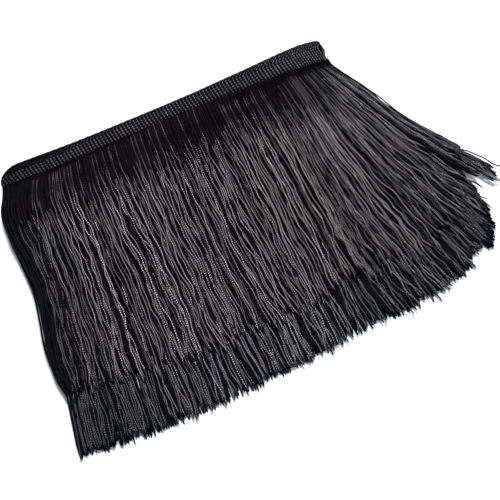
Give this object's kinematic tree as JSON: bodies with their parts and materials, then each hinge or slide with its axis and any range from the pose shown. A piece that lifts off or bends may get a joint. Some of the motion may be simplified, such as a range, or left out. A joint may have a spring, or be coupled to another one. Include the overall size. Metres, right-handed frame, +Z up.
{
  "type": "tassel fringe trim",
  "caption": "Folded length of black fringe trim: twisted strands hang from a ribbed heading tape that lies back and forth in laps, with staggered strand ends.",
  "frame": {"origin": "middle of the trim's box seen from above, on the surface that the trim lies on", "axes": "+X along the top lap's heading towards the right turn, -Y from the heading towards the strand ends, +Z up"},
  "size_m": [0.2968, 0.183, 0.0076],
  "materials": {
    "heading_tape": "ribbed black braid, soft sheen",
    "strand_yarn": "black twisted yarn with a silky sheen"
  },
  "bodies": {
    "root": {"heading": "heading_tape", "fringe_top": "strand_yarn", "fringe_middle": "strand_yarn", "fringe_bottom": "strand_yarn"}
  },
  "joints": []
}
